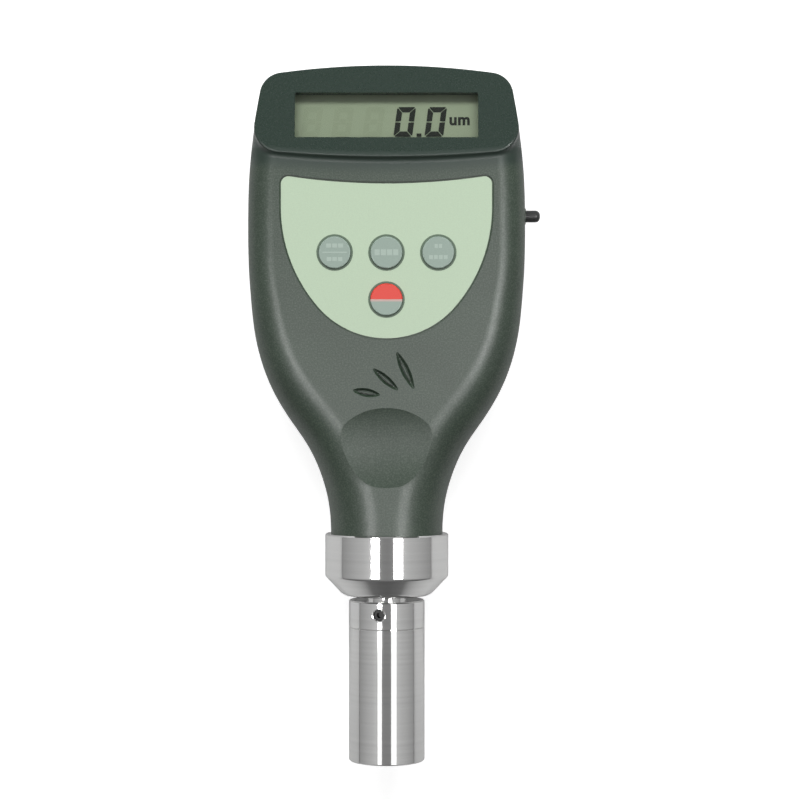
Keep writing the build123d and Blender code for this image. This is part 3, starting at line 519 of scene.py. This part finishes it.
def digit(left, shown):
    """Outlines of a slanted seven-segment figure; shown names its segments from a to g."""
    stroke, gap, cut = DIGIT_STROKE, SEGMENT_GAP, DIGIT_CORNER
    width, height = DIGIT_WIDTH, DIGIT_TOP - DIGIT_BOTTOM
    half = height / 2
    inner = height - stroke
    top = [
        (cut / 2 + gap, height - cut / 2),
        (cut, height),
        (width - cut, height),
        (width - cut / 2 - gap, height - cut / 2),
        (width - gap - stroke, inner),
        (gap + stroke, inner),
    ]
    side = [
        (0, half + gap),
        (0, height - cut),
        (cut / 2, height - cut / 2 - gap),
        (stroke, inner - gap),
        (stroke, half + gap * 2),
        (stroke / 2, half + gap),
    ]
    bar = [
        (stroke + gap, half - stroke / 2),
        (width - stroke - gap, half - stroke / 2),
        (width - stroke - gap, half + stroke / 2),
        (stroke + gap, half + stroke / 2),
    ]
    segments = {
        "a": top,
        "b": [(width - x, y) for x, y in side],
        "c": [(width - x, height - y) for x, y in side],
        "d": [(x, height - y) for x, y in top],
        "e": [(x, height - y) for x, y in side],
        "f": side,
        "g": bar,
    }
    figure = []
    for name in shown:
        outline = [(left + x + DIGIT_SLANT * y, DIGIT_BOTTOM + y) for x, y in segments[name]]
        figure.append(outline)
    return figure


def front_plane(node):
    """Centre, right and up of a flat node's upper face, in millimetres."""
    mesh = nodes[node].data
    mesh.calc_loop_triangles()
    facing = [t for t in mesh.loop_triangles if t.normal.z > FACING_UP]
    normal = sum((t.normal * t.area for t in facing), Vector()).normalized()
    total = sum(t.area for t in facing)
    centre = sum((Vector(t.center) * t.area for t in facing), Vector()) / total / MM
    right = Vector((1, 0, 0))
    return centre, right, normal.cross(right)


def box_outline(x, y, width, height):
    """Upright rectangle about a point."""
    return [
        (x - width / 2, y - height / 2),
        (x + width / 2, y - height / 2),
        (x + width / 2, y + height / 2),
        (x - width / 2, y + height / 2),
    ]


def area_light(name, x_span, y_span, height, radiance, target=None, glossy=True):
    """Panel of this radiance above the table, which gloss shows or which lights all but gloss."""
    lamp = bpy.data.lights.new(name, "AREA")
    lamp.shape = "RECTANGLE"
    lamp.size = (x_span[1] - x_span[0]) * MM
    lamp.size_y = (y_span[1] - y_span[0]) * MM
    lamp.energy = radiance * math.pi * lamp.size * lamp.size_y
    panel = bpy.data.objects.new(name, lamp)
    panel.location = Vector((sum(x_span) / 2, sum(y_span) / 2, height)) * MM
    panel.visible_camera = False
    panel.visible_glossy = glossy
    panel.visible_diffuse = not glossy
    if target is not None:
        away = panel.location - Vector(target) * MM
        panel.rotation_euler = away.to_track_quat("Z", "Y").to_euler()
    bpy.context.scene.collection.objects.link(panel)


def map_range(tree, value, span, result):
    """Socket of a value mapped from one span to another, in any node tree."""
    mapped = tree.nodes.new("ShaderNodeMapRange")
    tree.links.new(value, mapped.inputs["Value"])
    names = ("From Min", "From Max", "To Min", "To Max")
    for name, number in zip(names, (*span, *result)):
        mapped.inputs[name].default_value = number
    return mapped.outputs[0]


# Materials of the CAD nodes

dress(["front_shell"], case_plastic("case_face", face=True))
dress(["back_shell", "battery_door"], case_plastic("case_back"))
dress(["sensor_collar", "foot_cap", "foot_tube", "probe_stem"], turned_steel())
dress(
    ["keypad_overlay"],
    plain("overlay_film", FILM, rough=0.42, grain_mm=0.25, grain_depth=0.004),
)
dress(
    ["mode_key", "zero_key", "unit_key"],
    plain("key_grey", KEY_GREY, rough=0.45, grain_mm=0.3, grain_depth=0.006),
)
low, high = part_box("power_key")
dress(["power_key"], power_key_material((low.y + high.y) / 2))
dress(["dust_plug"], plain("plug_rubber", RUBBER, rough=0.34, grain_mm=0.8))
dress(["display_window"], glass_material())
dress(["lcd_panel"], plain("lcd_back", LCD_BACK, grain_mm=0.12, grain_depth=0.002))
dress(["battery_tray", "coil_retainer", "data_jack"], plain("black_moulding", BLACK_PLASTIC))
dress(["lcd_carrier", "key_mat"], plain("white_moulding", WHITE_PLASTIC))
dress(
    ["battery_1", "battery_2", "battery_3", "battery_4"],
    plain("cell_jacket", CELL_JACKET, rough=0.35, metal=1.0),
)
dress(["cell_contacts"], plain("contact_plate", CONTACT_PLATE, rough=0.3, metal=1.0))
dress(["main_board"], plain("board_laminate", BOARD_GREEN, rough=0.4))
dress(
    ["case_screws", "board_screws", "set_screw"],
    plain("screw_steel", SCREW_STEEL, rough=0.45, metal=1.0),
)
dress(["sensor_coil"], plain("coil_copper", COPPER, rough=0.4, metal=1.0))
dress(["upper_guide_bush", "lower_guide_bush"], plain("bush_bronze", BRONZE, rough=0.35, metal=1.0))
dress(
    ["stylus_shaft", "spring_seat"],
    plain("stylus_steel", GROUND_STEEL, rough=0.15, metal=1.0, grain_mm=0.4, grain_depth=0.001),
)
dress(
    ["stylus_tip", "sensor_core"],
    plain("stylus_carbide", CARBIDE, rough=0.3, metal=1.0, grain_mm=0.3, grain_depth=0.002),
)
dress(["stylus_spring"], plain("spring_steel", SPRING_STEEL, rough=0.25, metal=1.0))

# Stylus spring, copied into a mesh of its own on the case, with the CAD node hidden

still = bpy.data.objects["stylus_spring"]
spring = bpy.data.objects.new("pushed_spring", still.data.copy())
bpy.context.scene.collection.objects.link(spring)
spring.matrix_world = still.matrix_world
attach(spring, "case")
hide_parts("stylus_spring")
low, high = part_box("stylus_spring")
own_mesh(spring)

# Display figures

ink = plain("lcd_ink", LCD_INK, grain_mm=0.2, grain_depth=0.002)
ghost = plain("lcd_ghost", LCD_GHOST, grain_mm=0.2, grain_depth=0.002)
centre, right, up = front_plane("lcd_panel")
ink_plane = (centre + right.cross(up) * INK_LIFT, right, up)
figures = [outline for left in DIGIT_LEFT for outline in digit(left, ZERO)]
figures.append(box_outline(*DOT_AT, *DOT_SIZE))
prism("display_figures", figures, ink_plane, INK_THICK, ink, "case")
ghosts = [outline for left in GHOST_LEFT for outline in digit(left, ALL_SEGMENTS)]
prism("display_ghosts", ghosts, ink_plane, INK_THICK, ghost, "case")

letters = bpy.data.curves.new("display_unit", "FONT")
letters.body = UNIT
letters.size = UNIT_SIZE * MM
letters.offset = UNIT_BOLD * MM
letters.space_character = UNIT_SPREAD
letters.extrude = INK_THICK * MM
letters.materials.append(ink)
unit = bpy.data.objects.new("display_unit", letters)
turned = Matrix((right, up, right.cross(up))).transposed().to_4x4()
corner = ink_plane[0] + right * UNIT_AT[0] + up * UNIT_AT[1]
unit.matrix_world = Matrix.Translation(corner * MM) @ turned
bpy.context.scene.collection.objects.link(unit)
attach(unit, "case")

# Key legends, and a dark ring round each key that is painted shade over the gap round it

print_ink = plain("key_print", KEY_PRINT, grain_mm=0.2, grain_depth=0.002)
for key, rows in LEGENDS.items():
    low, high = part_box(key)
    face = Vector(((low.x + high.x) / 2, (low.y + high.y) / 2, high.z)) / MM
    key_plane = (face + Vector((0, 0, PRINT_AND_SHADE_LIFT)), Vector((1, 0, 0)), Vector((0, 1, 0)))
    blocks = []
    for row_y, count, (width, height) in rows:
        pitch = width + LEGEND_GAP
        for place in range(count):
            blocks.append(box_outline((place - (count - 1) / 2) * pitch, row_y, width, height))
    prism(f"{key}_legend", blocks, key_plane, PRINT_AND_SHADE_THICK, print_ink, key)

# Painted shade: a dark ring over the gap round each key
gap_shade_ink = plain("key_gap_shade", KEY_GAP_SHADE, grain_mm=0.2, grain_depth=0.002)
film_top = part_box("keypad_overlay")[1].z / MM
for key in KEYS:
    low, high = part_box(key)
    middle = (low + high) / 2 / MM
    rim_centre = (middle.x, middle.y, film_top + PRINT_AND_SHADE_LIFT)
    ring(f"{key}_rim", rim_centre, GAP_SHADE_RADII, PRINT_AND_SHADE_THICK, gap_shade_ink)

# Lights

for name, (x_span, y_span, radiance) in STRIPS.items():
    area_light(name, x_span, y_span, STRIP_HEIGHT, radiance)
half_width, half_length = KEY_SIZE[0] / 2, KEY_SIZE[1] / 2
area_light(
    "key",
    (-half_width, half_width),
    (KEY_AT[1] - half_length, KEY_AT[1] + half_length),
    KEY_AT[2],
    KEY_RADIANCE,
    target=(0, 0, 0),
    glossy=False,
)

# Sky, which the camera itself sees as white

world = bpy.data.worlds.new("studio")
bpy.context.scene.world = world
world.use_nodes = True
tree = world.node_tree
tree.nodes.clear()
direction = tree.nodes.new("ShaderNodeTexCoord")
split = tree.nodes.new("ShaderNodeSeparateXYZ")
tree.links.new(direction.outputs["Generated"], split.inputs[0])
sky = tree.nodes.new("ShaderNodeValToRGB")
while len(sky.color_ramp.elements) < len(SKY):
    sky.color_ramp.elements.new(0.5)
for element, (position, level) in zip(sky.color_ramp.elements, SKY):
    element.position = position
    element.color = (level, level, level, 1.0)
tree.links.new(split.outputs["Z"], sky.inputs[0])
soft = tree.nodes.new("ShaderNodeBackground")
tree.links.new(sky.outputs[0], soft.inputs["Color"])
shade = map_range(tree, split.outputs["Y"], FOOT_SIDE_SPAN, (FOOT_SIDE_SHADE, 1.0))
tree.links.new(shade, soft.inputs["Strength"])
white = tree.nodes.new("ShaderNodeBackground")
white.inputs["Color"].default_value = (1, 1, 1, 1)
path = tree.nodes.new("ShaderNodeLightPath")
choice = tree.nodes.new("ShaderNodeMixShader")
tree.links.new(path.outputs["Is Camera Ray"], choice.inputs[0])
tree.links.new(soft.outputs[0], choice.inputs[1])
tree.links.new(white.outputs[0], choice.inputs[2])
output = tree.nodes.new("ShaderNodeOutputWorld")
tree.links.new(choice.outputs[0], output.inputs["Surface"])

# Floor, darker beyond the foot, with a glow for the camera alone that makes it white

floor_at = Vector((0, FLOOR_SIZE / 2 + FLOOR_NEAR_EDGE, -FLOOR_DROP)) * MM
floor_at.z += cad_box[0].z
bpy.ops.mesh.primitive_plane_add(size=FLOOR_SIZE * MM, location=floor_at)
floor = bpy.context.object
floor.name = "floor"
paper = bpy.data.materials.new("floor_paper")
paper.use_nodes = True
floor.data.materials.append(paper)
tree = paper.node_tree
tree.nodes.clear()
place = tree.nodes.new("ShaderNodeNewGeometry")
split = tree.nodes.new("ShaderNodeSeparateXYZ")
tree.links.new(place.outputs["Position"], split.inputs[0])
span = metres((FLOOR_DARK_Y, FLOOR_LIGHT_Y))
matte = tree.nodes.new("ShaderNodeBsdfDiffuse")
tree.links.new(map_range(tree, split.outputs["Y"], span, FLOOR_SHADE), matte.inputs["Color"])
path = tree.nodes.new("ShaderNodeLightPath")
level = tree.nodes.new("ShaderNodeMath")
level.operation = "MULTIPLY"
tree.links.new(path.outputs["Is Camera Ray"], level.inputs[0])
tree.links.new(map_range(tree, split.outputs["Y"], span, FLOOR_GLOW), level.inputs[1])
glow = tree.nodes.new("ShaderNodeEmission")
tree.links.new(level.outputs[0], glow.inputs["Strength"])
both = tree.nodes.new("ShaderNodeAddShader")
tree.links.new(matte.outputs[0], both.inputs[0])
tree.links.new(glow.outputs[0], both.inputs[1])
output = tree.nodes.new("ShaderNodeOutputMaterial")
tree.links.new(both.outputs[0], output.inputs["Surface"])

# Camera

lens = bpy.data.cameras.new("camera")
lens.sensor_width = SENSOR
lens.lens = SENSOR * FOCAL_PIXELS / PICTURE_PIXELS
lens.clip_start = CLIP_START * MM
camera = bpy.data.objects.new("camera", lens)
camera.location = Vector(CAMERA_AT) * MM
bpy.context.scene.collection.objects.link(camera)
bpy.context.scene.camera = camera
bpy.context.scene.view_settings.view_transform = "Standard"
